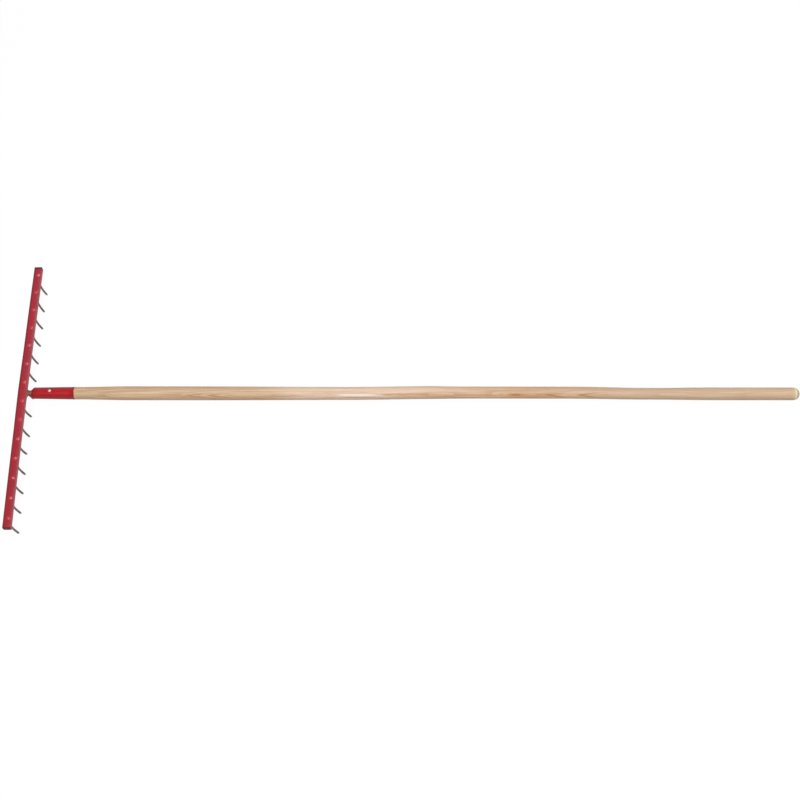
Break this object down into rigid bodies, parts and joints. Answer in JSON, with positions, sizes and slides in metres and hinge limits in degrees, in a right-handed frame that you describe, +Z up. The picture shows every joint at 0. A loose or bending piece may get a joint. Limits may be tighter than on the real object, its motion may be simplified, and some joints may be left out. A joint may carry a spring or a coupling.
{
  "type": "landscape rake",
  "caption": "Long-handled landscape rake: a straight red steel bar with riveted curved tines, a sheet-steel socket on a short neck and a turned wooden handle with a round butt.",
  "frame": {"origin": "on the ground below the middle of the rake's outline, with the tine tips and the butt of the handle on the ground", "axes": "+X from the head towards the butt of the handle, +Y across the rake along the bar, +Z up"},
  "size_m": [1.7058, 0.627, 0.0945],
  "materials": {
    "handle_wood": "clear lacquer over pale straight-grained wood",
    "red_paint": "semi-gloss red paint",
    "nail_steel": "bright steel",
    "neck_steel": "heat-browned steel under thin paint",
    "tine_steel": "dark bare steel"
  },
  "bodies": {
    "root": {"handle": "handle_wood", "socket": "red_paint", "socket_nail": "nail_steel", "neck": "neck_steel", "neck_weld": "neck_steel", "bar": "red_paint", "tine_01": "tine_steel", "tine_02": "tine_steel", "tine_03": "tine_steel", "tine_04": "tine_steel", "tine_05": "tine_steel", "tine_06": "tine_steel", "tine_07": "tine_steel", "tine_08": "tine_steel", "tine_09": "tine_steel", "tine_10": "tine_steel", "tine_11": "tine_steel", "tine_12": "tine_steel", "tine_13": "tine_steel", "tine_14": "tine_steel"}
  },
  "joints": []
}
